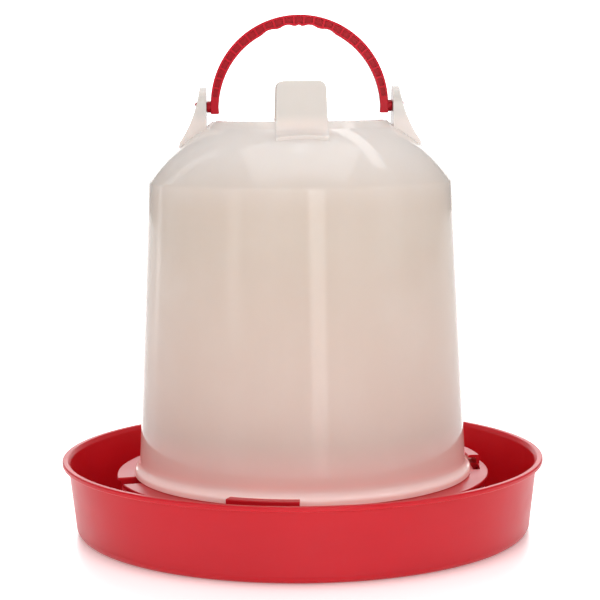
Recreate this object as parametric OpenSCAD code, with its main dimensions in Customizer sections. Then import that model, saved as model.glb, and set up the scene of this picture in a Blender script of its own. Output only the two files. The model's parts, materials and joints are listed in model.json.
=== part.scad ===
/* [Tray] */
// Outside diameter of the drinking tray over its lip
tray_d = 360; // [350:1:370]
// Height of the tray to the top of its lip
tray_h = 55.5; // [54:0.5:60]
// Wall and floor thickness of the tray
tray_wall = 2.6; // [2.4:0.1:2.8]
// Height of the shelf that the reservoir stands on
shelf_z = 42.5; // [42:0.5:44]
// Outside radius of the shelf
shelf_r = 139.6; // [138.5:0.1:140.5]
// Width of the water channel cut across the shelf
channel_w = 22; // [16:1:24]
// Depth of the water channel below the shelf
channel_depth = 8.5; // [7:0.5:10]

/* [Bayonet] */
// Height of each hook above the shelf
hook_h = 6.4; // [6:0.1:8]
// Angle that each hook covers
hook_span = 22; // [18:1:24]

/* [Reservoir] */
// Outside radius of the reservoir wall just above its foot flange
body_bottom_r = 122.2; // [121.8:0.1:122.6]
// Outside radius of the reservoir wall at the shoulder
body_top_r = 111.9; // [110:0.1:113]
// Height of the shoulder above the floor
shoulder_z = 260.5; // [256:0.5:262]
// Wall thickness of the reservoir
body_wall = 2.2; // [2:0.1:2.4]
// Outside radius of the foot flange
flange_r = 126.4; // [126.2:0.1:126.8]

/* [Feet and ears] */
// Height of the flat crown of the dome
crown_z = 305.5; // [304:0.1:306]
// Height of the two filling feet
foot_top_z = 334; // [332:0.5:336]
// Width of each filling foot at its top
foot_w = 34.5; // [32:0.5:38]
// Height of the two handle ears
ear_top_z = 330; // [328:0.5:332]
// Width of each ear where it grows out of the dome
ear_base_w = 46; // [40:1:50]

/* [Handle] */
// Height of the handle's pivot axis
pivot_z = 315.4; // [315:0.1:316]
// Outside radius of the handle's arch
bail_r = 66.8; // [66:0.1:67]
// Radial thickness of the arch at its crown
bail_t = 8.2; // [7.5:0.1:8.5]
// Depth of the arch from front to back
bail_depth = 10; // [9:0.5:11]
// Diameter of the pivot pins
pin_d = 7.05; // [6.5:0.05:7.5]

/* [Hidden] */
$fn = 96;
hook_count = 3;
hook_pitch = 360 / hook_count;

// Tray wall and lip
tray_r = tray_d / 2;
lip_w = 4.4;
lip_h = 3.6;
lip_round = 1.3;
wall_top_r = tray_r - lip_w;
wall_bottom_r = tray_r - 9.6;
corner_r = 7;
stand_r = wall_bottom_r - corner_r;
stand_w = 7;
stand_step = 0.8;
// Tray pedestal and deck
pedestal_r = shelf_r - 2.6;
deck_step_r = 104;
deck_drop = 4.5;
rib_count = 6;
rib_t = 2;
rib_h = 8;
rib_offset = 35;
rib_inner_r = 20;
channel_angle = 194;
channel_inner_r = 100;
channel_floor_z = shelf_z - channel_depth;
// Hooks on the shelf, each with a slot in front of its open end
hook_start = 5.8;
hook_outer_r = 136.4;
hook_wall_r = 134;
hook_inner_r = 127.9;
hook_plate = 2.2;
hook_root = 0.5;
stop_span = 1.2;
stop_inset = 0.1;
slot_inner_r = 128.4;
slot_outer_r = 134;
slot_span = 10;
slot_skirt = 7;
// Reservoir foot, with a lug for each hook
seat_gap = 0.3;
body_z = shelf_z + seat_gap;
flange_h = 5.3;
flange_round = 2.5;
flange_fillet = 5;
fillet_angle = 60;
lug_r = 133.4;
lug_h = 3.4;
lug_start = 5;
lug_stop_gap = 0.7;
lug_root = 0.2;
// Dome
dome_r = 112;
dome_edge_r = 64.5;
dome_edge_z = crown_z - 2.4;
crown_r = 63.5;
// Ears and feet
root_z = 276;
ear_inner_x = 68.4;
ear_reach = 20;
ear_flare_r = 85;
ear_flare_x = 157.9;
ear_flare_z = 338.5;
ear_base_z = 262;
seat_x = 74.7;
seat_d = 11.5;
bore_d = pin_d + 0.15;
foot_inner_y = 68.8;
foot_outer_y = 75;
foot_shell = 2.4;
foot_splay = 1.9;
foot_fillet = 6;
foot_fillet_z = 299.5;
foot_floor_z = 301.6;
corner_round = 5.5;
// Handle
bail_inner_r = bail_r - bail_t;
bail_rise = 1.4;
boss_h = 5.3;
pocket_arc = 168;
pocket_count = 25;
pocket_depth = 1.6;
flange_t = 1.5;
pocket_share = 0.82;
taper = 1;
scallops = [[0, 1.6, 0.9], [8.5, 5, 1.3], [22, 5.5, 1.2]];
collar_d = 8.6;
collar_end = ear_inner_x - 0.3;
barb_d = 8.3;
barb_start = seat_x + 0.3;
barb_len = 2;
slit_w = 1.8;

// Points on a circle about c, from angle a0 to a1 in steps
function arc(c, r, a0, a1, steps = 8) =
    [for (i = [0:steps]) c + r * [cos(a0 + (a1 - a0) * i / steps), sin(a0 + (a1 - a0) * i / steps)]];

// Centre of the circle of radius r through p and q, on the right-hand side of the way from p to q
function centre_of(p, q, r) =
    let (m = (p + q) / 2, d = q - p, h = sqrt(r * r - norm(d) * norm(d) / 4))
    m + h * [d[1], -d[0]] / norm(d);

function angle_at(c, p) = atan2(p[1] - c[1], p[0] - c[0]);

// A ring with a rectangular section, over part of a turn
module sector(r0, r1, z0, z1, start, span) {
    rotate([0, 0, start])
        rotate_extrude(angle = span)
            translate([r0, z0])
                square([r1 - r0, z1 - z0]);
}

module each_hook() {
    for (i = [0:hook_count - 1])
        rotate([0, 0, i * hook_pitch])
            children();
}

// ---------------------------------------------------------------- tray

// Outline of the tray's section, from the outside of the wall round to the middle of the deck
module tray_section() {
    t = tray_wall;
    lip_z = tray_h - lip_h;
    outer = concat(
        [[0, shelf_z - deck_drop - t], [deck_step_r - t, shelf_z - deck_drop - t],
         [deck_step_r, shelf_z - t], [pedestal_r - t, shelf_z - t], [pedestal_r - t, stand_step],
         [stand_r - stand_w, stand_step], [stand_r - stand_w, 0]],
        arc([stand_r, corner_r], corner_r, -90, -8),
        [[wall_top_r, lip_z], [tray_r - 0.5, lip_z]],
        arc([tray_r - lip_round, lip_z + lip_round], lip_round, -40, 0, 3),
        arc([tray_r - lip_round, tray_h - lip_round], lip_round, 0, 90, 5),
        [[wall_top_r + 0.6, tray_h]]);
    inner_wall_r = wall_bottom_r - t;
    inner = concat(
        [[wall_top_r - 0.8, tray_h - 0.4], [wall_top_r - t + 0.3, tray_h - 2.6]],
        arc([inner_wall_r - corner_r + 1, t + stand_step + corner_r - 1], corner_r - 1, -8, -90),
        arc([pedestal_r + 4, t + stand_step + 4], 4, 270, 180, 5),
        [[pedestal_r, shelf_z - 2.6], [shelf_r - 0.6, shelf_z - 2.4], [shelf_r, shelf_z - 1.8],
         [shelf_r, shelf_z - 0.6], [shelf_r - 0.6, shelf_z], [deck_step_r, shelf_z],
         [deck_step_r - t, shelf_z - deck_drop], [0, shelf_z - deck_drop]]);
    polygon(concat(outer, inner));
}

// Outline of a wall under the deck, from a radius out to the pedestal, with its top inside the deck's plate
function under_deck(inner_r, low_z) =
    let (outer_r = pedestal_r - tray_wall / 2, middle_z = shelf_z - tray_wall / 2)
    [[inner_r, low_z], [outer_r, low_z], [outer_r, middle_z], [deck_step_r, middle_z],
     [deck_step_r - tray_wall, middle_z - deck_drop], [inner_r, middle_z - deck_drop]];

// The walls round the water channel
module channel_walls() {
    rotate([90, 0, channel_angle])
        linear_extrude(channel_w + 2 * tray_wall, center = true)
            polygon(under_deck(channel_inner_r - tray_wall, channel_floor_z - tray_wall));
}

module channel_cut() {
    rotate([0, 0, channel_angle])
        translate([channel_inner_r, -channel_w / 2, channel_floor_z])
            cube([shelf_r - channel_inner_r + 3, channel_w, channel_depth + 1]);
}

// One bayonet hook: outer wall, top plate and end stop, with a skirt that hangs from the shelf at its open end
module hook() {
    bottom_z = shelf_z - hook_root;
    top_z = shelf_z + hook_h;
    sector(hook_wall_r, hook_outer_r, bottom_z, top_z, hook_start, hook_span);
    sector(hook_inner_r, hook_outer_r, top_z - hook_plate, top_z, hook_start, hook_span);
    sector(hook_inner_r + stop_inset, hook_wall_r + 1, bottom_z + stop_inset, top_z - 1,
           hook_start + hook_span - stop_span, stop_span - stop_inset);
    sector(slot_inner_r - 1, pedestal_r - 1, shelf_z - slot_skirt, shelf_z - 1, hook_start, 1);
}

module hook_slot() {
    sector(slot_inner_r, slot_outer_r, shelf_z - slot_skirt, shelf_z + 1, hook_start - slot_span, slot_span);
}

// Ribs from near the middle of the deck to the pedestal wall
module deck_ribs() {
    low_z = shelf_z - deck_drop - tray_wall - rib_h;
    for (i = [0:rib_count - 1])
        rotate([90, 0, rib_offset + i * 360 / rib_count])
            linear_extrude(rib_t, center = true)
                polygon(under_deck(rib_inner_r, low_z));
}

module tray() {
    color("#c3202b")
        difference() {
            union() {
                rotate_extrude()
                    tray_section();
                channel_walls();
                each_hook()
                    hook();
                deck_ribs();
            }
            channel_cut();
            each_hook()
                hook_slot();
        }
}

// ---------------------------------------------------------------- reservoir

// Outline of the outside of the reservoir, drawn back by inset, as a solid of revolution's section
module reservoir_section(inset) {
    p = [dome_edge_r, dome_edge_z];
    q = [body_top_r, shoulder_z];
    c = centre_of(p, q, dome_r);
    r = dome_r - inset;
    shoulder_round = 6;
    slope = angle_at(c, q);
    s = c + (dome_r - shoulder_round) * [cos(slope), sin(slope)];
    polygon(concat(
        [[0, body_z - (inset > 0 ? 1 : 0)], [body_bottom_r - inset, body_z - (inset > 0 ? 1 : 0)],
         [body_bottom_r - inset, body_z + flange_h + 4]],
        arc(s, shoulder_round - inset, 2.5, slope, 5),
        arc(c, r, slope, angle_at(c, p), 10),
        [[crown_r - inset, crown_z - inset - 0.3], [crown_r - inset - 0.6, crown_z - inset],
         [0, crown_z - inset]]));
}

// The foot flange: a round edge that runs on into a fillet against the wall
module flange_section() {
    inner_r = body_bottom_r - body_wall;
    edge = [flange_r - flange_round, body_z + flange_h - flange_round];
    edge_end = edge + flange_round * [cos(fillet_angle), sin(fillet_angle)];
    fillet_start = body_bottom_r + flange_fillet * (1 - cos(fillet_angle));
    fillet_z = edge_end[1] + (edge_end[0] - fillet_start) / tan(fillet_angle) + flange_fillet * sin(fillet_angle);
    polygon(concat(
        [[inner_r, body_z], [flange_r - 0.4, body_z], [flange_r, body_z + 0.4]],
        arc(edge, flange_round, 0, fillet_angle, 5),
        arc([body_bottom_r + flange_fillet, fillet_z], flange_fillet, 180 + fillet_angle, 184, 5),
        [[inner_r, fillet_z]]));
}

// A lug that turns in under a hook's plate
module lug() {
    sector(flange_r - 2, lug_r, body_z + lug_root, body_z + lug_h,
           hook_start + lug_start, hook_span - stop_span - lug_start - lug_stop_gap);
}

// Outline of an ear seen along the pivot: a round top about the bore, with sides that run out tangent to it
module ear_outline() {
    r = ear_top_z - pivot_z;
    foot = [ear_base_w / 2, ear_base_z - pivot_z];
    side = angle_at([0, 0], foot) + acos(r / norm(foot));
    polygon(concat([[-foot[0], foot[1]], foot], arc([0, 0], r, side, 180 - side, 24)));
}

// One ear: a plate across the handle's axis, flared into the dome on its outer side
module ear() {
    difference() {
        translate([ear_inner_x, 0, pivot_z])
            rotate([90, 0, 90])
                linear_extrude(ear_reach)
                    ear_outline();
        translate([ear_flare_x, 0, ear_flare_z])
            rotate([90, 0, 0])
                cylinder(r = ear_flare_r, h = 2 * ear_base_w, center = true, $fn = 180);
        translate([seat_x, 0, pivot_z])
            rotate([0, 90, 0])
                cylinder(d = seat_d, h = ear_reach);
    }
}

module ear_bore() {
    translate([ear_inner_x - 1, 0, pivot_z])
        rotate([0, 90, 0])
            cylinder(d = bore_d, h = ear_reach);
}

// Outline of a filling foot seen from outside: upright, a little wider at its root, with round top corners
module foot_outline() {
    half = foot_w / 2;
    centre = [half - corner_round, foot_top_z - corner_round];
    polygon(concat(
        [[-half - foot_splay, root_z], [half + foot_splay, root_z]],
        arc(centre, corner_round, 0, 90),
        arc([-centre[0], centre[1]], corner_round, 90, 180)));
}

// One filling foot: a shallow box, open towards the axis, with a fillet where its outer face meets the dome
module filling_foot() {
    reach = foot_outer_y + foot_fillet;
    cavity_w = foot_w - 2 * foot_shell;
    difference() {
        translate([0, reach, 0])
            rotate([90, 0, 0])
                linear_extrude(reach - foot_inner_y)
                    foot_outline();
        translate([-foot_w, foot_outer_y, foot_fillet_z])
            cube([2 * foot_w, reach, foot_top_z]);
        translate([0, foot_outer_y + foot_fillet, foot_fillet_z])
            rotate([0, 90, 0])
                cylinder(r = foot_fillet, h = 2 * foot_w, center = true);
        translate([-foot_w, foot_outer_y + foot_fillet / 2, root_z - 1])
            cube([2 * foot_w, reach, foot_top_z]);
        translate([-cavity_w / 2, foot_inner_y - 1, foot_floor_z])
            cube([cavity_w, foot_outer_y - foot_shell - foot_inner_y + 1,
                  foot_top_z - foot_shell - foot_floor_z]);
    }
}

module reservoir() {
    color("#ece6df")
        difference() {
            union() {
                rotate_extrude($fn = 180)
                    reservoir_section(0);
                rotate_extrude($fn = 180)
                    flange_section();
                each_hook()
                    lug();
                for (s = [0, 180])
                    rotate([0, 0, s]) {
                        ear();
                        filling_foot();
                    }
            }
            rotate_extrude($fn = 180)
                reservoir_section(body_wall);
            for (s = [0, 180])
                rotate([0, 0, s])
                    ear_bore();
        }
}

// ---------------------------------------------------------------- bail handle

// Radius of the handle's outside at an angle from its crown: a circle centred a little above the pivot
function bail_outer(a) =
    bail_rise * cos(a) + sqrt(pow(bail_r - bail_rise, 2) - pow(bail_rise * sin(a), 2));

// How deep the finger scallops cut in at an angle: each is [middle angle, half width, depth], on both sides
function scallop(a) =
    max([for (s = scallops) abs(abs(a) - s[0]) < s[1] ? s[2] * cos(90 * (abs(a) - s[0]) / s[1]) : 0]);

// Radius of the handle's inside at an angle from its crown: it grows towards the ends
function bail_inner(a) = bail_inner_r + taper * pow(a / 90, 4) + scallop(a);

// A length of the arch in its own plane, from angle a0 to a1 from its crown, with both its edges set in by inset
module arch(inset, a0, a1, y0, y1) {
    steps = ceil((a1 - a0) / 2);
    angles = [for (i = [0:steps]) a0 + (a1 - a0) * i / steps];
    outer = [for (a = angles) (bail_outer(a) - inset) * [sin(a), cos(a)]];
    inner = [for (i = [steps:-1:0]) (bail_inner(angles[i]) + inset) * [sin(angles[i]), cos(angles[i])]];
    translate([0, y1, 0])
        rotate([90, 0, 0])
            linear_extrude(y1 - y0)
                polygon(concat(outer, inner));
}

// The row of pockets in one face, which leaves a web, two flanges and cross ribs
module pockets(y0) {
    pitch = pocket_arc / pocket_count;
    for (i = [0:pocket_count - 1]) {
        start = pitch * (i + (1 - pocket_share) / 2) - pocket_arc / 2;
        arch(flange_t, start, start + pitch * pocket_share, y0, y0 + pocket_depth + 1);
    }
}

// Pin with a solid collar and a split, barbed end, pointing along +X
module snap_pin() {
    root_x = bail_outer(90) - 1;
    difference() {
        rotate([0, 90, 0]) {
            translate([0, 0, root_x])
                cylinder(d = collar_d, h = collar_end - root_x);
            translate([0, 0, root_x])
                cylinder(d = pin_d, h = barb_start + barb_len - root_x);
            translate([0, 0, barb_start])
                cylinder(d1 = barb_d, d2 = pin_d - 1.6, h = barb_len);
        }
        translate([ear_inner_x, -barb_d, -slit_w / 2])
            cube([20, 2 * barb_d, slit_w]);
    }
}

module bail_end() {
    translate([bail_inner(90), -bail_depth / 2, -boss_h])
        cube([bail_outer(90) - bail_inner(90), bail_depth, boss_h + 0.5]);
}

module bail_handle() {
    color("#b81428")
        translate([0, 0, pivot_z])
            difference() {
                union() {
                    arch(0, -90, 90, -bail_depth / 2, bail_depth / 2);
                    for (s = [0, 180])
                        rotate([0, 0, s]) {
                            bail_end();
                            snap_pin();
                        }
                }
                pockets(-bail_depth / 2 - 1);
                pockets(bail_depth / 2 - pocket_depth);
            }
}

tray();
reservoir();
bail_handle();
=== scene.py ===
import json
import math

import bmesh
import bpy
from mathutils import Matrix, Vector


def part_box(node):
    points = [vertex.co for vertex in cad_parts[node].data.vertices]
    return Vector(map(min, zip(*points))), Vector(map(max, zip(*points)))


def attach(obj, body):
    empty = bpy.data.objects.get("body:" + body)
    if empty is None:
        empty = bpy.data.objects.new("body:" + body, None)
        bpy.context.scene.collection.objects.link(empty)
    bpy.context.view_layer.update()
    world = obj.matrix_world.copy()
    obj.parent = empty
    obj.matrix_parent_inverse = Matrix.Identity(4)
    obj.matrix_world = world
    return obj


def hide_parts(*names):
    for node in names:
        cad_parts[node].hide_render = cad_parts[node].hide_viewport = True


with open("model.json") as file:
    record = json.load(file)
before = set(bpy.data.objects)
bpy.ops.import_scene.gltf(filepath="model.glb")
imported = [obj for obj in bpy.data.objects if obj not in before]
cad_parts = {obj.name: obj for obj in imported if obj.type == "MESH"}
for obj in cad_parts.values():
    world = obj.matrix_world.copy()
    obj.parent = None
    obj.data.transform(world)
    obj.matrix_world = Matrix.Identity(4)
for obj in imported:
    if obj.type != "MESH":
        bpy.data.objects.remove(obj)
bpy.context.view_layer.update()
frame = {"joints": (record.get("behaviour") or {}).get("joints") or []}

# ---------------------------------------------------------------- sizes
# Lengths are in millimetres and angles in degrees, as in the CAD model. Meshes turn into metres when made.
MM = 0.001


def box_mm(node):
    """Lowest and highest corner of a CAD node, in millimetres."""
    low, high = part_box(node)
    return low / MM, high / MM


tray_high = box_mm("tray")[1]
bell_low, bell_high = box_mm("reservoir")
bail_low, bail_high = box_mm("bail_handle")

# The tray: lip, wall, trough, stand ring, and a pedestal whose shelf goes round a sunken deck
TRAY_R = tray_high.x
TRAY_H = tray_high.z
TRAY_WALL = 2.6
LIP_W = 4.4
LIP_H = 3.6
WALL_FLARE = 5.2
STAND_R = 163.4
STAND_W = 7.0
STAND_STEP = 0.8
BASE_R = 170.1
SHELF_Z = bell_low.z - 0.3
SHELF_R = 139.6
SHELF_EDGE_H = 2.5
PEDESTAL_R = SHELF_R - 2.6
DECK_R = 104.0
DECK_DROP = 4.5

# The water channel across the shelf, and the ribs under the deck
CHANNEL_W = 22.0
CHANNEL_INNER_R = 100.0
CHANNEL_FLOOR_Z = SHELF_Z - 8.5
CHANNEL_ANGLE = 194.0
RIBS = 6
RIB_T = 2.0
RIB_H = 8.0
RIB_ANGLE = 35.0
RIB_INNER_R = 20.0

# The bayonet: hooks on the shelf (inside of the plate, inside and outside of the wall), slots, and lugs
THIRDS = (0.0, 120.0, 240.0)
HOOK_START = 5.8
HOOK_SPAN = 22.0
HOOK_R = (127.9, 134.0, 136.4)
HOOK_TOP_Z = SHELF_Z + 6.4
HOOK_PLATE = 2.2
STOP_SPAN = 1.2
SLOT_R = (128.4, 134.0)
SLOT_SPAN = 10.0
SLOT_SKIRT = 7.0
LUG_R = 133.4
LUG_TOP_Z = bell_low.z + 3.4
LUG_START = HOOK_START + 5.0
LUG_SPAN = 15.1

# The reservoir: flange, tapered wall, dome and crown
FLANGE_R = 126.4
FLANGE_TOP_Z = bell_low.z + 5.3
FLANGE_ROUND = 2.5
FLANGE_FILLET = 5.0
FLANGE_JOIN = 60.0
BODY_R = (122.2, 111.9)
BODY_WALL = 2.2
SHOULDER_Z = 260.5
SHOULDER_ROUND = 6.0
DOME_R = 112.0
DOME_START = 2.2
CROWN_R = 63.5
CROWN_Z = 305.5
CROWN_STEP = 2.4
CROWN_ROUND = 3.5

# The ears that hold the handle
PIVOT_Z = next(joint for joint in frame["joints"] if joint["name"] == "bail_swing")["pos_m"][2] / MM
EAR_X = 68.4
EAR_TOP_Z = 330.0
EAR_BASE_W = 46.0
EAR_BASE_Z = 262.0
EAR_REACH = 20.0
FLARE_R = 85.0
FLARE_X = 157.9
FLARE_Z = 338.5
SEAT_X = 74.7
SEAT_R = 5.75
BORE_R = 3.6

# The filling feet
FOOT_TOP_Z = bell_high.z
FOOT_W = 34.5
FOOT_SPLAY = 1.9
FOOT_Y = (68.8, 75.0)
FOOT_SHELL = 2.4
FOOT_FLOOR_Z = 301.6
FOOT_FILLET = 6.0
FOOT_ROOT_Z = 276.0
FOOT_CORNER = 5.5
DOME_SLOPE = 0.62

# The handle: arch, pockets, finger scallops (middle angle, half width, depth) and snap pins
BAIL_R = bail_high.z - PIVOT_Z
BAIL_T = 8.2
BAIL_RISE = 1.4
BAIL_TAPER = 1.0
BAIL_DEPTH = bail_high.y - bail_low.y
BAIL_ROUND = 0.6
END_H = 5.3
POCKETS = 25
POCKET_DEPTH = 1.6
POCKET_EDGE = 1.5
POCKET_SHARE = 0.82
POCKET_SPAN = 168.0
SCALLOPS = ((0.0, 1.6, 0.9), (8.5, 5.0, 1.3), (22.0, 5.5, 1.2))
PIN_R = 3.525
COLLAR_R = 4.3
BARB_R = 4.15
BARB_X = SEAT_X + 0.3
BARB_LEN = 2.0
SLIT_W = 1.8

# Edges that turn by more than these angles are rounded, or stay sharp in the shading
ROUND_OVER = 40.0
SHARP_OVER = 32.0

# The world: the backdrop's middle bearing, half width and glow, its rise overhead, and the dim room round it
BACKDROP_MIDDLE = 1.0
BACKDROP_HALF = 20.0
BACKDROP_GLOW = 0.76
OVERHEAD_RISE = 6.0
OVERHEAD_END = 0.15
ROOM_GLOW = 0.3

# Studio lights: name, place and size in metres, power in watts
SOFTBOXES = (
    ("key_left", (-1.3, -1.1, 0.9), (0.4, 1.8), 3.0),
    ("key_right", (1.5, -0.9, 0.9), (0.3, 1.3), 2.8),
    ("rim_left", (-1.26, 0.985, 0.8), (0.2, 2.0), 0.9),
    ("rim_right", (0.58, 0.52, 1.48), (1.1, 0.2), 2),
    ("front", (-0.2, -2.0, 1.0), (1.4, 1.0), 5.5),
    ("strip", (0.27, -1.45, 0.35), (0.28, 1.2), 3.6),
    ("top", (0, -0.1, 1.9), (1.6, 1.2), 11),
)


# ---------------------------------------------------------------- outlines
def rounded(corners, step=15.0, closed=False):
    """Points of an outline. Each corner (x, y, radius) becomes an arc with a point every step degrees."""
    points = []
    count = len(corners)
    for i, (x, y, radius) in enumerate(corners):
        here = Vector((x, y))
        if radius == 0 or (not closed and i in (0, count - 1)):
            points.append(here)
            continue
        before = Vector(corners[i - 1][:2])
        after = Vector(corners[(i + 1) % count][:2])
        way_in = (here - before).normalized()
        way_out = (after - here).normalized()
        turn = way_in.angle_signed(way_out)
        cut = radius * math.tan(abs(turn) / 2)
        side = Vector((-way_in.y, way_in.x)) * (-1 if turn > 0 else 1)
        centre = here - way_in * cut + side * radius
        spoke = -side * radius
        pieces = max(2, math.ceil(math.degrees(abs(turn)) / step))
        for k in range(pieces + 1):
            angle = -turn * k / pieces
            points.append(centre + Vector((
                spoke.x * math.cos(angle) - spoke.y * math.sin(angle),
                spoke.x * math.sin(angle) + spoke.y * math.cos(angle))))
    return points


def arc(centre, radius, start, end, pieces):
    """Points on a circle between two angles."""
    points = []
    for k in range(pieces + 1):
        angle = math.radians(start + (end - start) * k / pieces)
        points.append(Vector((centre[0] + radius * math.cos(angle), centre[1] + radius * math.sin(angle))))
    return points


# ---------------------------------------------------------------- meshes
def new_piece(name, bm):
    """A piece from a bmesh in millimetres, with outward normals."""
    bmesh.ops.recalc_face_normals(bm, faces=bm.faces)
    bmesh.ops.scale(bm, vec=(MM, MM, MM), verts=bm.verts)
    mesh = bpy.data.meshes.new(name)
    bm.to_mesh(mesh)
    bm.free()
    piece = bpy.data.objects.new(name, mesh)
    bpy.context.scene.collection.objects.link(piece)
    return piece


def join_rings(bm, low, high):
    """Quads between two closed rings of as many points."""
    for k in range(len(low)):
        after = (k + 1) % len(low)
        bm.faces.new((low[k], low[after], high[after], high[k]))


def close_ends(bm, rings):
    """Faces over the first and last ring."""
    bm.faces.new(rings[0])
    bm.faces.new(list(reversed(rings[-1])))


def lathe(name, outline, step=1.5):
    """A closed solid of revolution with a facet every step degrees. Points at radius 0 become poles."""
    bm = bmesh.new()
    count = round(360 / step)
    rings = []
    for radius, z in outline:
        if radius < 1e-6:
            rings.append([bm.verts.new((0, 0, z))])
            continue
        angles = [math.radians(k * step) for k in range(count)]
        rings.append([bm.verts.new((radius * math.cos(a), radius * math.sin(a), z)) for a in angles])
    pairs = list(zip(rings, rings[1:]))
    if len(rings[0]) > 1:
        pairs.append((rings[-1], rings[0]))
    for low, high in pairs:
        if len(low) == len(high):
            join_rings(bm, low, high)
            continue
        for k in range(count):
            after = (k + 1) % count
            if len(low) == 1:
                bm.faces.new((low[0], high[after], high[k]))
            else:
                bm.faces.new((low[k], low[after], high[0]))
    return new_piece(name, bm)


def sweep(name, sections):
    """A closed solid through sections, each a list of as many points."""
    bm = bmesh.new()
    rings = [[bm.verts.new(point) for point in section] for section in sections]
    for low, high in zip(rings, rings[1:]):
        join_rings(bm, low, high)
    close_ends(bm, rings)
    return new_piece(name, bm)


def steps(start, span):
    """Angles from start over a span, with a step of a degree at most."""
    pieces = max(1, math.ceil(span))
    return [start + span * k / pieces for k in range(pieces + 1)]


def sector(name, outline, start, span):
    """A closed outline of (r, z) swept about Z over part of a turn."""
    sections = []
    for angle in steps(start, span):
        a = math.radians(angle)
        sections.append([(r * math.cos(a), r * math.sin(a), z) for r, z in outline])
    return sweep(name, sections)


def prism(name, outline, low, high, place):
    """A closed outline extruded from low to high; place puts (u, v, w) in space."""
    return sweep(name, [[place(u, v, w) for u, v in outline] for w in (low, high)])


def spindle(name, outline, origin, axis):
    """A closed solid of revolution about any axis. The outline's points are (distance along, radius)."""
    turn = Vector((0, 0, 1)).rotation_difference(Vector(axis)).to_matrix().to_4x4()
    piece = lathe(name, [(radius, along) for along, radius in outline], step=7.5)
    piece.data.transform(Matrix.Translation(Vector(origin) * MM) @ turn)
    return piece


def ladder(name, rungs, inner, outer, columns=1, swap=False):
    """A symmetrical plate seen face on. rungs are (half width, z) from the bottom up. Its flat face is at the
    distance inner from the axis and its other face at outer(across, z). swap puts it on Y and not on X."""
    bm = bmesh.new()

    def corner(out, across, z):
        return bm.verts.new((across, out, z) if swap else (out, across, z))

    flat = []
    shaped = []
    for half, z in rungs:
        flat.append([corner(inner, -half, z), corner(inner, half, z)])
        across = [half * (2 * k / columns - 1) for k in range(columns + 1)]
        shaped.append([corner(outer(a, z), a, z) for a in across])
    bm.faces.new([pair[0] for pair in flat] + [pair[1] for pair in reversed(flat)])
    for low, high in zip(shaped, shaped[1:]):
        for k in range(columns):
            bm.faces.new((low[k], low[k + 1], high[k + 1], high[k]))
    for low, high, low_flat, high_flat in zip(shaped, shaped[1:], flat, flat[1:]):
        bm.faces.new((low_flat[0], low[0], high[0], high_flat[0]))
        bm.faces.new((low_flat[1], low[-1], high[-1], high_flat[1]))
    for end in (0, -1):
        bm.faces.new(flat[end] + list(reversed(shaped[end])))
    return new_piece(name, bm)


def bake(piece):
    """Applies every modifier of a piece to its mesh."""
    graph = bpy.context.evaluated_depsgraph_get()
    mesh = bpy.data.meshes.new_from_object(piece.evaluated_get(graph))
    piece.modifiers.clear()
    piece.data = mesh
    return piece


def combine(piece, tools, operation):
    """Unites a piece with other closed pieces, or cuts them from it, and removes them."""
    for tool in tools:
        modifier = piece.modifiers.new("combine", "BOOLEAN")
        modifier.operation = operation
        modifier.solver = "MANIFOLD"
        modifier.object = tool
        bake(piece)
        bpy.data.objects.remove(tool)
    return piece


def soften(piece, width, segments=3):
    """Rounds the real edges of a piece."""
    modifier = piece.modifiers.new("soften", "BEVEL")
    modifier.width = width * MM
    modifier.segments = segments
    modifier.limit_method = "ANGLE"
    modifier.angle_limit = math.radians(ROUND_OVER)
    return bake(piece)


def turned(piece, angle):
    """A piece turned about Z."""
    piece.data.transform(Matrix.Rotation(math.radians(angle), 4, "Z"))
    return piece


def finish_surface(piece, material):
    """Smooth shading that keeps the real edges, and one material."""
    for polygon in piece.data.polygons:
        polygon.use_smooth = True
    piece.data.set_sharp_from_angle(angle=math.radians(SHARP_OVER))
    weighted = piece.modifiers.new("weighted", "WEIGHTED_NORMAL")
    weighted.keep_sharp = True
    piece.data.materials.clear()
    piece.data.materials.append(material)


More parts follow.
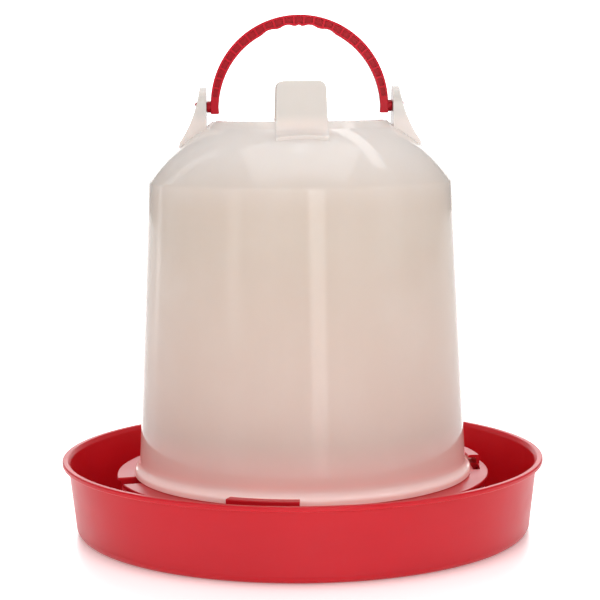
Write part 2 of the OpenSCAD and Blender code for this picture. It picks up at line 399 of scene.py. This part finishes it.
# ---------------------------------------------------------------- materials
class Nodes:
    """Short words for building a node tree whose patterns follow one kind of coordinates, in metres."""

    def __init__(self, tree, coordinates):
        self.tree = tree
        self.place = self.add("ShaderNodeTexCoord").outputs[coordinates]

    def add(self, kind, **values):
        node = self.tree.nodes.new(kind)
        for key, value in values.items():
            setattr(node, key, value)
        return node

    def link(self, source, target):
        self.tree.links.new(source, target)

    def noise(self, scale, detail, stretch=None):
        """A noise value; scale is in waves per metre and stretch scales the axes."""
        node = self.add("ShaderNodeTexNoise")
        node.inputs["Scale"].default_value = scale
        node.inputs["Detail"].default_value = detail
        source = self.place
        if stretch:
            mapping = self.add("ShaderNodeMapping")
            mapping.inputs["Scale"].default_value = stretch
            self.link(source, mapping.inputs["Vector"])
            source = mapping.outputs["Vector"]
        self.link(source, node.inputs["Vector"])
        return node.outputs["Fac"]

    def ramp(self, value, low, high, to_low=0.0, to_high=1.0, smooth_ends=True):
        """A value that goes from to_low at low to to_high at high, and stays level beyond them."""
        node = self.add("ShaderNodeMapRange")
        if smooth_ends:
            node.interpolation_type = "SMOOTHSTEP"
        self.link(value, node.inputs["Value"])
        node.inputs["From Min"].default_value = low
        node.inputs["From Max"].default_value = high
        node.inputs["To Min"].default_value = to_low
        node.inputs["To Max"].default_value = to_high
        return node.outputs["Result"]

    def maths(self, operation, a, b=0):
        node = self.add("ShaderNodeMath", operation=operation)
        for socket, value in zip(node.inputs, (a, b)):
            if isinstance(value, (int, float)):
                socket.default_value = value
            else:
                self.link(value, socket)
        return node.outputs["Value"]

    def mix(self, share, a, b):
        """Colour a where share is 0, and b where it is 1."""
        node = self.add("ShaderNodeMix", data_type="RGBA")
        self.link(share, node.inputs["Factor"])
        for socket, value in ((node.inputs[6], a), (node.inputs[7], b)):
            if isinstance(value, tuple):
                socket.default_value = (*value, 1.0)
            else:
                self.link(value, socket)
        return node.outputs[2]

    def along(self, axis):
        """The distance along the X, Y or Z axis."""
        node = self.add("ShaderNodeSeparateXYZ")
        self.link(self.place, node.inputs[0])
        return node.outputs[axis]

    def radius(self):
        """The distance from the Z axis."""
        flat = self.add("ShaderNodeVectorMath", operation="MULTIPLY")
        self.link(self.place, flat.inputs[0])
        flat.inputs[1].default_value = (1, 1, 0)
        length = self.add("ShaderNodeVectorMath", operation="LENGTH")
        self.link(flat.outputs["Vector"], length.inputs[0])
        return length.outputs["Value"]

    def bump(self, value, depth, below=None):
        """A bump of a depth in metres, on top of another."""
        node = self.add("ShaderNodeBump")
        node.inputs["Strength"].default_value = 1.0
        node.inputs["Distance"].default_value = depth
        self.link(value, node.inputs["Height"])
        if below:
            self.link(below, node.inputs["Normal"])
        return node.outputs["Normal"]


class Surface(Nodes):
    """A new material with one Principled shader."""

    def __init__(self, name):
        self.material = bpy.data.materials.new(name)
        self.material.use_nodes = True
        super().__init__(self.material.node_tree, "Object")
        self.shader = self.tree.nodes["Principled BSDF"]

    def drive(self, socket, value):
        """Links a value that varies over the surface to one of the shader's sockets."""
        self.link(value, self.shader.inputs[socket])

    def set(self, **values):
        """Constants on the shader's own sockets."""
        for key, value in values.items():
            self.shader.inputs[key.replace("_", " ")].default_value = value


def milky_plastic():
    """Natural polyethylene: milky, glossy and faintly cloudy, and greyer in the ears and feet. Painted light:
    the dome is painted whiter where more light falls on it, the wall rosier low down with red light
    bounced up from the tray, the flange with a paler painted highlight, and a faint painted glow low on
    the wall stands for light carried down in it."""
    s = Surface("milky_plastic")
    base = s.mix(s.ramp(s.noise(14, 4), 0.35, 0.7), (0.69, 0.575, 0.495), (0.715, 0.61, 0.535))
    streaks = s.noise(30, 3, stretch=(1, 1, 0.06))
    base = s.mix(s.ramp(streaks, 0.4, 0.75, 0, 0.4), base, (0.665, 0.555, 0.475))
    # Height from and to, share of the colour at both, whether the ends are smooth, and the colour
    bands = (
        # painted light: the dome paler and brighter, where more light falls on it
        (0.24, 0.29, 0.0, 0.8, True, (0.86, 0.78, 0.74)),
        (0.303, 0.312, 0.0, 0.9, True, (0.70, 0.66, 0.62)),
        # painted light: rosier low down, for red light bounced up from the tray
        (0.06, 0.22, 0.5, 0.0, False, (0.76, 0.50, 0.445)),
        # painted light: brighter and rosier at the foot of the wall, where the tray's rim shades it, for red
        # bounce light and light carried down in the wall
        (0.043, 0.085, 0.8, 0.0, False, (1.0, 0.62, 0.58)),
        # painted highlight: a paler band on the flange
        (0.050, 0.056, 0.7, 0.0, True, (1.0, 0.80, 0.76)),
    )
    height = s.along("Z")
    for low, high, share_low, share_high, smooth_ends, colour in bands:
        base = s.mix(s.ramp(height, low, high, share_low, share_high, smooth_ends), base, colour)
    s.drive("Base Color", base)
    s.drive("Roughness", s.ramp(s.noise(60, 3), 0.4, 0.75, 0.08, 0.11))
    wave = s.bump(s.noise(9, 2), 0.0006)
    s.drive("Normal", s.bump(s.noise(700, 2), 0.000003, wave))
    # painted glow low on the wall, for light carried down in it
    s.drive("Emission Strength", s.ramp(height, 0.045, 0.085, 0.17, 0.0))
    s.set(IOR=1.5, Specular_IOR_Level=0.3, Subsurface_Weight=0.6, Subsurface_Scale=0.004,
          Subsurface_Radius=(1.0, 0.85, 0.75), Emission_Color=(1.0, 0.45, 0.4, 1.0))
    return s.material


def red_plastic():
    """The tray's bright red moulding, with faint flow marks, a slightly uneven gloss and a fine grain."""
    s = Surface("red_plastic")
    flow = s.noise(11, 4, stretch=(1, 1, 3))
    s.drive("Base Color", s.mix(s.ramp(flow, 0.3, 0.7), (0.54, 0.009, 0.018), (0.57, 0.010, 0.020)))
    s.drive("Roughness", s.ramp(s.noise(30, 3), 0.35, 0.7, 0.29, 0.34))
    wave = s.bump(s.noise(8, 1), 0.00015)
    s.drive("Normal", s.bump(s.noise(600, 2), 0.000002, wave))
    s.set(IOR=1.5, Specular_IOR_Level=0.28, Subsurface_Weight=0.5, Subsurface_Scale=0.008,
          Subsurface_Radius=(1.0, 0.1, 0.1))
    return s.material


def crimson_plastic():
    """The handle's darker red moulding, with painted shade in its pockets that also darkens the arch's inside
    and outside.
    """
    s = Surface("crimson_plastic")
    face = s.mix(s.ramp(s.noise(60, 3), 0.3, 0.7), (0.56, 0.005, 0.018), (0.62, 0.007, 0.022))
    half = BAIL_DEPTH / 2
    # painted shade: darker off the front and back faces, in the pockets and on the arch's inner and outer
    # surfaces
    clear_of_painted_shade = s.ramp(s.maths("ABSOLUTE", s.along("Y")), (half - 1.2) * MM, (half - 0.3) * MM)
    s.drive("Base Color", s.mix(clear_of_painted_shade, (0.46, 0.004, 0.014), face))
    s.drive("Roughness", s.ramp(s.noise(300, 4), 0.4, 0.75, 0.3, 0.42))
    s.drive("Normal", s.bump(s.noise(1500, 2), 0.000005))
    s.set(IOR=1.5, Specular_IOR_Level=0.18)
    return s.material


def floor_surface():
    """A plain pale floor with a soft sheen that glows evenly, except under and just round the object, where
    the glow fades out as painted shade.
    """
    s = Surface("floor_surface")
    s.drive("Base Color", s.mix(s.ramp(s.noise(3, 2), 0.3, 0.7), (0.90, 0.90, 0.90), (0.92, 0.92, 0.92)))
    # painted shade: the floor's glow fades out under the tray and just round its foot
    s.drive("Emission Strength", s.ramp(s.radius(), 0.15, 0.188, 0.0, 0.6))
    s.set(Roughness=0.4, Metallic=0.5, Emission_Color=(1, 1, 1, 1))
    return s.material


# ---------------------------------------------------------------- tray
def tray_outline():
    """The tray's section, from the axis underneath round the wall and lip and back over the deck."""
    t = TRAY_WALL
    lip_z = TRAY_H - LIP_H
    wall_top = TRAY_R - LIP_W
    wall_low = wall_top - WALL_FLARE
    under = SHELF_Z - t
    edge_z = SHELF_Z - SHELF_EDGE_H
    corners = [
        (0, under - DECK_DROP, 0), (DECK_R - t, under - DECK_DROP, 1.5), (DECK_R, under, 1.5),
        (PEDESTAL_R - t, under, 1.5), (PEDESTAL_R - t, STAND_STEP, 1.0),
        (STAND_R - STAND_W, STAND_STEP, 0.3), (STAND_R - STAND_W, 0, 0.4), (BASE_R, 0, 6.0),
        (wall_low, 6, 12), (wall_top, lip_z, 0.8), (TRAY_R, lip_z, 1.0), (TRAY_R, TRAY_H, 1.3),
        (wall_top + 0.4, TRAY_H, 1.3), (wall_top - t + 0.8, TRAY_H - 3, 3), (wall_low - t, 8, 12),
        (STAND_R + 2, t + STAND_STEP, 5.5), (PEDESTAL_R, t + STAND_STEP, 4.0),
        (PEDESTAL_R, edge_z, 0.8), (SHELF_R, edge_z, 0.5), (SHELF_R, SHELF_Z, 0.9),
        (DECK_R, SHELF_Z, 0.8), (DECK_R - t, SHELF_Z - DECK_DROP, 1.2), (0, SHELF_Z - DECK_DROP, 0)]
    return rounded(corners)


def channel_outline():
    """The water channel's cross-section as (across, z), with rounded edges."""
    half = CHANNEL_W / 2
    lift = 3.0
    lip = 1.0
    right = [Vector((half + lip, SHELF_Z + lift))] + arc((half + lip, SHELF_Z - lip), lip, 90, 180, 5)
    left = [Vector((-p.x, p.y)) for p in reversed(right)]
    bottom = rounded([(half, SHELF_Z, 0), (half, CHANNEL_FLOOR_Z, 2.5), (-half, CHANNEL_FLOOR_Z, 2.5),
                      (-half, SHELF_Z, 0)])[1:-1]
    return right + bottom + left


def channel_cut():
    """A cutter for the water channel, from the deck out through the shelf's edge."""
    cut = prism("cut", channel_outline(), CHANNEL_INNER_R, SHELF_R + 3, lambda u, v, w: (w, u, v))
    return turned(cut, CHANNEL_ANGLE)


def under_deck(name, inner, low, width, angle):
    """A bar along a radius with its top inside the deck's plate: a rib, or the channel's walls."""
    outer = PEDESTAL_R - TRAY_WALL / 2
    middle = SHELF_Z - TRAY_WALL / 2
    outline = [(inner, low), (outer, low), (outer, middle), (DECK_R, middle),
               (DECK_R - TRAY_WALL, middle - DECK_DROP), (inner, middle - DECK_DROP)]
    return turned(prism(name, outline, -width / 2, width / 2, lambda u, v, w: (u, w, v)), angle)


def channel_walls():
    """The block under the shelf that the channel is cut in."""
    floor_z = CHANNEL_FLOOR_Z - TRAY_WALL
    width = CHANNEL_W + 2 * TRAY_WALL
    return under_deck("walls", CHANNEL_INNER_R - TRAY_WALL, floor_z, width, CHANNEL_ANGLE)


def ribs():
    """The stiffening ribs under the deck."""
    low = SHELF_Z - DECK_DROP - TRAY_WALL - RIB_H
    return [under_deck("rib", RIB_INNER_R, low, RIB_T, RIB_ANGLE + k * 360 / RIBS) for k in range(RIBS)]


def ring_block(name, radii, heights, start, span):
    """A block with a rectangular section, bent round the axis."""
    section = [(radii[0], heights[0]), (radii[1], heights[0]), (radii[1], heights[1]), (radii[0], heights[1])]
    return sector(name, section, start, span)


def hook_piece(angle):
    """One bayonet hook: a wall, a top plate and an end stop, with a skirt under the shelf at its open end."""
    low = SHELF_Z - 0.5
    inner, wall, outer = HOOK_R
    under = HOOK_TOP_Z - HOOK_PLATE
    section = rounded([(wall, low, 0), (outer, low, 0), (outer, HOOK_TOP_Z, 0.9), (inner, HOOK_TOP_Z, 0.7),
                       (inner, under, 0.5), (wall, under, 0.6)], closed=True)
    hook = sector("hook", section, HOOK_START, HOOK_SPAN)
    stop_start = HOOK_START + HOOK_SPAN - STOP_SPAN
    stop_z = (low + 0.1, HOOK_TOP_Z - 1)
    stop = ring_block("stop", (inner + 0.1, wall + 1), stop_z, stop_start, STOP_SPAN - 0.1)
    combine(hook, [stop], "UNION")
    soften(hook, 0.45)
    skirt_r = (SLOT_R[0] - 1, PEDESTAL_R - 1)
    skirt = ring_block("skirt", skirt_r, (SHELF_Z - SLOT_SKIRT, SHELF_Z - 1), HOOK_START, 1)
    combine(hook, [skirt], "UNION")
    return turned(hook, angle)


def hook_slot(angle):
    """A cutter for the slot through the shelf in front of a hook's open end."""
    slot = ring_block("slot", SLOT_R, (SHELF_Z - SLOT_SKIRT, SHELF_Z + 1), HOOK_START - SLOT_SPAN, SLOT_SPAN)
    return turned(slot, angle)


def make_tray():
    tray = lathe("tray_moulding", tray_outline())
    combine(tray, [channel_walls()] + ribs() + [hook_piece(angle) for angle in THIRDS], "UNION")
    combine(tray, [channel_cut()] + [hook_slot(angle) for angle in THIRDS], "DIFFERENCE")
    finish_surface(tray, red_plastic())
    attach(tray, "tray")
    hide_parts("tray")


# ---------------------------------------------------------------- reservoir
def dome_points(inset):
    """The dome's arc from the shoulder up to the crown's step, drawn back by inset."""
    start = Vector((BODY_R[1], SHOULDER_Z))
    end = Vector((CROWN_R + 1, CROWN_Z - CROWN_STEP))
    half = (end - start) / 2
    rise = math.sqrt(DOME_R ** 2 - half.length_squared)
    centre = start + half - Vector((half.y, -half.x)).normalized() * rise
    first = math.degrees(math.atan2(start.y - centre.y, start.x - centre.x))
    last = math.degrees(math.atan2(end.y - centre.y, end.x - centre.x))
    return arc(centre, DOME_R - inset, first + DOME_START, last, 24)


def flange_outline():
    """The foot flange from its underside: a round edge that runs on into a fillet against the wall."""
    join = math.radians(FLANGE_JOIN)
    edge = Vector((FLANGE_R - FLANGE_ROUND, FLANGE_TOP_Z - FLANGE_ROUND))
    edge_end = edge + FLANGE_ROUND * Vector((math.cos(join), math.sin(join)))
    fillet_start = BODY_R[0] + FLANGE_FILLET * (1 - math.cos(join))
    fillet_z = edge_end.y + (edge_end.x - fillet_start) / math.tan(join) + FLANGE_FILLET * math.sin(join)
    under = rounded([(0, bell_low.z, 0), (FLANGE_R, bell_low.z, 0.5), (FLANGE_R, edge.y, 0)])[:-1]
    round_edge = arc(edge, FLANGE_ROUND, 0, FLANGE_JOIN, 5)
    fillet = arc((BODY_R[0] + FLANGE_FILLET, fillet_z), FLANGE_FILLET, 180 + FLANGE_JOIN, 180, 6)
    return under + round_edge + fillet


def outside_outline():
    """The outside of the reservoir from the axis at the bottom, out round the flange, and up to the crown."""
    foot = flange_outline()
    dome = dome_points(0)
    shoulder = rounded([(*foot[-1], 0), (BODY_R[1], SHOULDER_Z, SHOULDER_ROUND), (*dome[0], 0)])[1:-1]
    crown = rounded([(*dome[-3], 0), (CROWN_R + 0.6, CROWN_Z, CROWN_ROUND), (0, CROWN_Z, 0)])[1:]
    return foot + shoulder + dome[:-2] + crown


def inside_outline():
    """The reservoir's hollow from below its mouth up to the underside of the crown."""
    t = BODY_WALL
    wall = BODY_R[0] - t
    mouth_z = bell_low.z - 2
    dome = dome_points(t)
    side = rounded([(0, mouth_z, 0), (wall + 0.1, mouth_z, 0), (wall, FLANGE_TOP_Z + 4, 20),
                    (BODY_R[1] - t, SHOULDER_Z, 4), (*dome[0], 0)])[:-1]
    return side + dome[1:-1] + [Vector((CROWN_R - t, CROWN_Z - t)), Vector((0, CROWN_Z - t))]


def lug(angle):
    """A lug on the flange that turns in under a hook's plate."""
    block = ring_block("lug", (FLANGE_R - 2, LUG_R), (bell_low.z + 0.2, LUG_TOP_Z), LUG_START, LUG_SPAN)
    return turned(soften(block, 0.4), angle)


def flare(z):
    """The distance of an ear's outer face from the axis, at a height."""
    reach = EAR_X + EAR_REACH
    drop = FLARE_R ** 2 - (FLARE_Z - z) ** 2
    return min(reach, FLARE_X - math.sqrt(drop)) if drop > 0 else reach


def ear_piece(angle):
    """An ear that holds a pin: straight sides that run on into a round top."""
    radius = EAR_TOP_Z - PIVOT_Z
    foot = Vector((EAR_BASE_W / 2, EAR_BASE_Z - PIVOT_Z))
    side = math.degrees(math.atan2(foot.y, foot.x) + math.acos(radius / foot.length))
    top = arc((0, PIVOT_Z), radius, side, 88, 20)
    base = Vector((foot.x, EAR_BASE_Z))
    rungs = [base.lerp(top[0], k / 30) for k in range(30)] + top
    return turned(soften(ladder("ear", rungs, EAR_X, lambda across, z: flare(z)), 0.9), angle)


def ear_bore(angle):
    """A cutter for a pin's bore, its chamfer and the flat seat of the barb."""
    low = EAR_X - 2
    outline = [(low, 0), (low, BORE_R + 2.5), (EAR_X + 0.5, BORE_R), (SEAT_X, BORE_R), (SEAT_X, SEAT_R),
               (SEAT_X + 20, SEAT_R), (SEAT_X + 20, 0)]
    return turned(spindle("bore", outline, (0, 0, PIVOT_Z), (1, 0, 0)), angle)


def foot_outer(across, z):
    """The distance of a filling foot's outer face from the axis, with a fillet against the dome."""
    radius = math.hypot(FOOT_Y[1], across)
    below = min(dome_points(0), key=lambda p: abs(p.x - radius))
    dome_z = below.y - (radius - below.x) * DOME_SLOPE
    down = min(FOOT_FILLET, dome_z + FOOT_FILLET - 1.0 - z)
    if down <= 0:
        return FOOT_Y[1]
    return FOOT_Y[1] + FOOT_FILLET - math.sqrt(FOOT_FILLET ** 2 - down ** 2)


def foot_piece(angle):
    """A hollow filling foot, with rungs close together over its fillet and further apart above."""
    half = FOOT_W / 2
    corner_z = FOOT_TOP_Z - FOOT_CORNER
    fine, coarse = 0.8, 4.0
    heights = [FOOT_ROOT_Z + fine * k for k in range(36)] + [FOOT_FLOOR_Z + coarse * k for k in range(1, 7)]
    rungs = []
    for z in heights:
        if z < corner_z - 0.3:
            rungs.append((half + FOOT_SPLAY * (corner_z - z) / (corner_z - FOOT_ROOT_Z), z))
    rungs += arc((half - FOOT_CORNER, corner_z), FOOT_CORNER, 0, 90, 8)
    foot = soften(ladder("foot", rungs, FOOT_Y[0], foot_outer, columns=12, swap=True), 1.8, segments=4)
    inside = half - FOOT_SHELL
    ceiling = FOOT_TOP_Z - FOOT_SHELL
    window = rounded([(-inside, FOOT_FLOOR_Z, 1.2), (inside, FOOT_FLOOR_Z, 1.2), (inside, ceiling, 2.2),
                      (-inside, ceiling, 2.2)], closed=True)
    cavity = prism("cavity", window, FOOT_Y[0] - 3, FOOT_Y[1] - FOOT_SHELL, lambda u, v, w: (u, w, v))
    return turned(combine(foot, [cavity], "DIFFERENCE"), angle)


def make_reservoir():
    bell = lathe("reservoir_moulding", outside_outline())
    features = [lug(angle) for angle in THIRDS]
    for angle in (0, 180):
        features += [ear_piece(angle), foot_piece(angle)]
    combine(bell, features, "UNION")
    combine(bell, [lathe("hollow", inside_outline())], "DIFFERENCE")
    combine(bell, [ear_bore(angle) for angle in (0, 180)], "DIFFERENCE")
    finish_surface(bell, milky_plastic())
    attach(bell, "reservoir")
    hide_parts("reservoir")


# ---------------------------------------------------------------- handle
def bail_outer(angle):
    """The radius of the handle's outside at an angle from its crown, on a circle centred above the pivot."""
    a = math.radians(angle)
    return BAIL_RISE * math.cos(a) + math.sqrt((BAIL_R - BAIL_RISE) ** 2 - (BAIL_RISE * math.sin(a)) ** 2)


def bail_inner(angle):
    """The radius of the handle's inside: it grows towards the ends, and scallops for the fingers cut into it
    on both sides of the crown."""
    cuts = [0.0]
    for middle, half, depth in SCALLOPS:
        off = abs(abs(angle) - middle)
        if off < half:
            cuts.append(depth * math.cos(math.pi / 2 * off / half))
    return BAIL_R - BAIL_T + BAIL_TAPER * (angle / 90) ** 4 + max(cuts)


def arch_block(name, inset, y0, y1, start, span, round_off=0.0):
    """Part of the handle's arch between two depths, with both its edges set in by inset."""
    sections = []
    for angle in steps(start, span):
        a = math.radians(angle)
        r0 = bail_inner(angle) + inset
        r1 = bail_outer(angle) - inset
        corners = [(r0, y0, round_off), (r1, y0, round_off), (r1, y1, round_off), (r0, y1, round_off)]
        section = rounded(corners, step=30, closed=True)
        sections.append([(r * math.sin(a), y, PIVOT_Z + r * math.cos(a)) for r, y in section])
    return sweep(name, sections)


def pockets():
    """Cutters for the shallow pockets in the front and back of the arch."""
    half = BAIL_DEPTH / 2
    pitch = POCKET_SPAN / POCKETS
    cutters = []
    for k in range(POCKETS):
        start = -POCKET_SPAN / 2 + pitch * (k + (1 - POCKET_SHARE) / 2)
        for low, high in ((-half - 1, -half + POCKET_DEPTH), (half - POCKET_DEPTH, half + 1)):
            cutters.append(arch_block("pocket", POCKET_EDGE, low, high, start, pitch * POCKET_SHARE))
    return cutters


def snap_pin(angle):
    """A split pin with its collar and barb."""
    start = bail_outer(90) - 1
    outline = [(start, 0), (start, COLLAR_R), (EAR_X - 0.5, COLLAR_R), (EAR_X - 0.3, COLLAR_R - 0.2),
               (EAR_X - 0.3, PIN_R), (BARB_X, PIN_R), (BARB_X, BARB_R - 0.2), (BARB_X + 0.2, BARB_R),
               (BARB_X + BARB_LEN, PIN_R - 0.8), (BARB_X + BARB_LEN, 0)]
    pin = spindle("pin", outline, (0, 0, PIVOT_Z), (1, 0, 0))
    half = SLIT_W / 2
    slit = prism("slit", [(-half, -8), (half, -8), (half, 8), (-half, 8)], EAR_X, BARB_X + 8,
                 lambda u, v, w: (w, v, PIVOT_Z + u))
    combine(pin, [slit], "DIFFERENCE")
    return turned(pin, angle)


def bail_end(angle):
    """The flat end of the handle below its pivot, a little wider at the bottom."""
    inner = bail_inner(90)
    outer = bail_outer(90)
    outline = rounded([(inner + 0.2, 2, 0), (inner - 0.3, -END_H, 0.7), (outer + 0.1, -END_H, 0.7),
                       (outer - 0.3, 2, 0)], closed=True)
    half = BAIL_DEPTH / 2 - 0.02
    block = prism("end", outline, -half, half, lambda u, v, w: (u, w, PIVOT_Z + v))
    return turned(soften(block, 0.4, segments=2), angle)


def make_handle():
    half = BAIL_DEPTH / 2
    handle = arch_block("bail_moulding", 0, -half, half, -90, 180, round_off=BAIL_ROUND)
    combine(handle, [bail_end(angle) for angle in (0, 180)], "UNION")
    combine(handle, pockets(), "DIFFERENCE")
    combine(handle, [snap_pin(angle) for angle in (0, 180)], "UNION")
    finish_surface(handle, crimson_plastic())
    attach(handle, "bail")
    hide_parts("bail_handle")


# ---------------------------------------------------------------- studio
def make_floor():
    bm = bmesh.new()
    bmesh.ops.create_grid(bm, x_segments=8, y_segments=8, size=4000)
    floor = new_piece("floor", bm)
    floor.data.materials.append(floor_surface())


def make_world():
    """A dim studio with a bright backdrop behind the object, brighter still overhead. The camera itself sees
    plain white on every side."""
    world = bpy.data.worlds.new("studio")
    bpy.context.scene.world = world
    world.use_nodes = True
    w = Nodes(world.node_tree, "Generated")
    bearing = w.maths("ARCTAN2", w.along("X"), w.along("Y"))
    off = w.maths("ABSOLUTE", w.maths("SUBTRACT", bearing, math.radians(BACKDROP_MIDDLE)))
    backdrop = w.maths("LESS_THAN", off, math.radians(BACKDROP_HALF))
    above = w.maths("MINIMUM", w.maths("MAXIMUM", w.along("Z"), 0), OVERHEAD_END)
    overhead = w.maths("MULTIPLY", above, OVERHEAD_RISE)
    glow = w.maths("MULTIPLY", backdrop, w.maths("ADD", overhead, BACKDROP_GLOW))
    room = w.maths("ADD", glow, ROOM_GLOW)
    seen = w.add("ShaderNodeLightPath").outputs["Is Camera Ray"]
    sky = w.tree.nodes["Background"]
    sky.inputs["Color"].default_value = (1, 1, 1, 1)
    w.link(w.maths("ADD", room, seen), sky.inputs["Strength"])


def make_softbox(name, place, size, power):
    """A rectangular studio light that faces the middle of the object."""
    data = bpy.data.lights.new(name, "AREA")
    data.shape = "RECTANGLE"
    data.size, data.size_y = size
    data.energy = power
    light = bpy.data.objects.new(name, data)
    bpy.context.scene.collection.objects.link(light)
    light.location = place
    light.rotation_mode = "QUATERNION"
    light.rotation_quaternion = (Vector((0, 0, 0.18)) - light.location).to_track_quat("-Z", "Y")


def make_camera():
    """A long lens at the height of the dome, looking slightly down."""
    distance, height = 1.342, 0.331
    yaw, pitch, roll, pan = (math.radians(angle) for angle in (1.3, 6.79, -0.5, 0.036))
    data = bpy.data.cameras.new("camera")
    data.lens = 108.4
    data.sensor_width = 36.0
    camera = bpy.data.objects.new("camera", data)
    bpy.context.scene.collection.objects.link(camera)
    camera.location = (-distance * math.sin(yaw), -distance * math.cos(yaw), height)
    level = Matrix.Rotation(pan - yaw, 4, "Z") @ Matrix.Rotation(math.pi / 2 - pitch, 4, "X")
    camera.rotation_euler = (level @ Matrix.Rotation(roll, 4, "Z")).to_euler()
    bpy.context.scene.camera = camera


bpy.context.scene.view_settings.view_transform = "Standard"
make_camera()
make_world()
make_floor()
for softbox in SOFTBOXES:
    make_softbox(*softbox)
make_tray()
make_reservoir()
make_handle()
